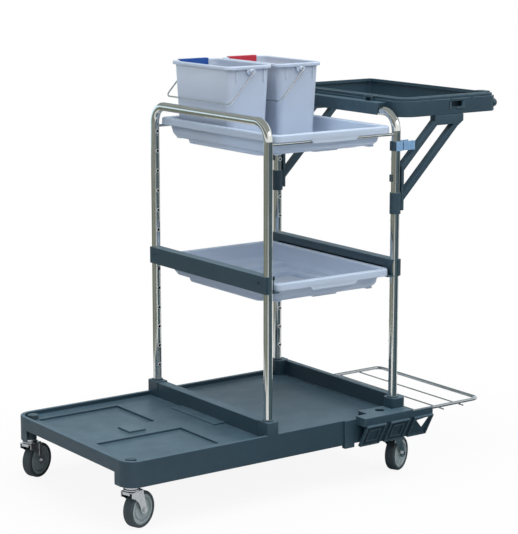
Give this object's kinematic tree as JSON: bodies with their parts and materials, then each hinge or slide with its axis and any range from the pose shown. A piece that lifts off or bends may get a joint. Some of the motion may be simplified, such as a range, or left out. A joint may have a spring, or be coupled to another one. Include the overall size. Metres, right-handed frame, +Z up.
{
  "type": "janitor cart",
  "caption": "Janitor cart: moulded platform on swivel casters, chromed hoops with two trays, buckets with wire bails, a braced waste-bag frame with clamp ring and a folding wire shelf.",
  "frame": {"origin": "on the floor under the middle of the whole cart's box", "axes": "+X along the length, from the open deck to the bag frame; +Y from the front side, where the holder is, to the back; +Z up"},
  "size_m": [1.278, 0.661, 1.1688],
  "materials": {
    "slate_plastic": "fine moulded grain",
    "ring_plastic": "fine moulded grain",
    "dark_trim": "matte",
    "chrome_tube": "polished",
    "chrome_wire": "polished",
    "bail_wire": "drawn wire",
    "zinc_steel": "bright zinc",
    "tray_plastic": "satin",
    "bucket_plastic": "satin",
    "blue_plastic": "gloss",
    "red_plastic": "gloss",
    "clip_plastic": "satin",
    "hub_plastic": "moulded",
    "tyre_rubber": "soft rubber"
  },
  "bodies": {
    "cart": {"platform": "slate_plastic", "socket_collars": "dark_trim", "stem_caps": "dark_trim", "left_hoop": "chrome_tube", "right_hoop": "chrome_tube", "tray_rods": "chrome_tube", "left_shelf_rail": "slate_plastic", "right_shelf_rail": "slate_plastic", "rail_screws": "dark_trim", "bag_frame": "slate_plastic", "ring_hinge_pins": "zinc_steel", "bag_latch": "ring_plastic", "corner_bumpers": "ring_plastic", "front_brace": "slate_plastic", "back_brace": "slate_plastic", "brace_clamps": "slate_plastic", "brace_bolts": "dark_trim", "clip_collar": "slate_plastic", "tool_clip": "clip_plastic", "front_holder": "slate_plastic", "shelf_saddles": "slate_plastic", "caster_raceways": "zinc_steel"},
    "front_left_caster": {"front_left_fork": "zinc_steel", "front_left_axle": "zinc_steel"},
    "front_left_wheel": {"front_left_hub": "hub_plastic", "front_left_tyre": "tyre_rubber"},
    "front_right_caster": {"front_right_fork": "zinc_steel", "front_right_axle": "zinc_steel"},
    "front_right_wheel": {"front_right_hub": "hub_plastic", "front_right_tyre": "tyre_rubber"},
    "back_left_caster": {"back_left_fork": "zinc_steel", "back_left_axle": "zinc_steel"},
    "back_left_wheel": {"back_left_hub": "hub_plastic", "back_left_tyre": "tyre_rubber"},
    "back_right_caster": {"back_right_fork": "zinc_steel", "back_right_axle": "zinc_steel"},
    "back_right_wheel": {"back_right_hub": "hub_plastic", "back_right_tyre": "tyre_rubber"},
    "upper_tray": {"upper_tray": "tray_plastic"},
    "lower_tray": {"lower_tray": "tray_plastic"},
    "left_bucket": {"left_bucket": "bucket_plastic", "blue_marker": "blue_plastic"},
    "right_bucket": {"right_bucket": "bucket_plastic", "red_marker": "red_plastic"},
    "left_bail": {"left_bail": "bail_wire"},
    "right_bail": {"right_bail": "bail_wire"},
    "clamp_ring": {"clamp_ring": "ring_plastic"},
    "wire_shelf": {"wire_shelf": "chrome_wire"}
  },
  "joints": [
    {"name": "front_left_swivel", "type": "hinge", "parent": "cart", "child": "front_left_caster", "pos_m": [-0.608, -0.25766, 0.106], "axis": [0, 0, 1], "continuous": true},
    {"name": "front_left_spin", "type": "hinge", "parent": "front_left_caster", "child": "front_left_wheel", "pos_m": [-0.58146, -0.24873, 0.05], "axis": [-0.319, 0.9478, 0], "continuous": true},
    {"name": "front_right_swivel", "type": "hinge", "parent": "cart", "child": "front_right_caster", "pos_m": [0.27, -0.25766, 0.106], "axis": [0, 0, 1], "continuous": true},
    {"name": "front_right_spin", "type": "hinge", "parent": "front_right_caster", "child": "front_right_wheel", "pos_m": [0.2955, -0.24609, 0.05], "axis": [-0.4131, 0.9107, 0], "continuous": true},
    {"name": "back_left_swivel", "type": "hinge", "parent": "cart", "child": "back_left_caster", "pos_m": [-0.608, 0.28834, 0.106], "axis": [0, 0, 1], "continuous": true},
    {"name": "back_left_spin", "type": "hinge", "parent": "back_left_caster", "child": "back_left_wheel", "pos_m": [-0.58204, 0.29883, 0.05], "axis": [-0.3746, 0.9272, 0], "continuous": true},
    {"name": "back_right_swivel", "type": "hinge", "parent": "cart", "child": "back_right_caster", "pos_m": [0.27, 0.28834, 0.106], "axis": [0, 0, 1], "continuous": true},
    {"name": "back_right_spin", "type": "hinge", "parent": "back_right_caster", "child": "back_right_wheel", "pos_m": [0.29631, 0.29792, 0.05], "axis": [-0.342, 0.9397, 0], "continuous": true},
    {"name": "upper_tray_lift", "type": "slide", "parent": "cart", "child": "upper_tray", "axis": [0, 0, 1], "range_m": [0, 0.2]},
    {"name": "lower_tray_slide", "type": "slide", "parent": "cart", "child": "lower_tray", "axis": [0, -1, 0], "range_m": [0, 0.35]},
    {"name": "left_bucket_lift", "type": "slide", "parent": "upper_tray", "child": "left_bucket", "axis": [0, 0, 1], "range_m": [0, 0.3]},
    {"name": "right_bucket_lift", "type": "slide", "parent": "upper_tray", "child": "right_bucket", "axis": [0, 0, 1], "range_m": [0, 0.3]},
    {"name": "left_bail_swing", "type": "hinge", "parent": "left_bucket", "child": "left_bail", "pos_m": [-0.06, 0.12234, 1.1516], "axis": [0, 1, 0], "range_deg": [0, 170]},
    {"name": "right_bail_swing", "type": "hinge", "parent": "right_bucket", "child": "right_bail", "pos_m": [0.111, 0.12234, 1.1516], "axis": [0, 1, 0], "range_deg": [0, 11]},
    {"name": "clamp_ring_hinge", "type": "hinge", "parent": "cart", "child": "clamp_ring", "pos_m": [0.271, 0.01534, 1.0718], "axis": [0, -1, 0], "range_deg": [0, 95]},
    {"name": "wire_shelf_fold", "type": "hinge", "parent": "cart", "child": "wire_shelf", "pos_m": [0.306, 0.01534, 0.154], "axis": [0, -1, 0], "range_deg": [0, 90]}
  ]
}
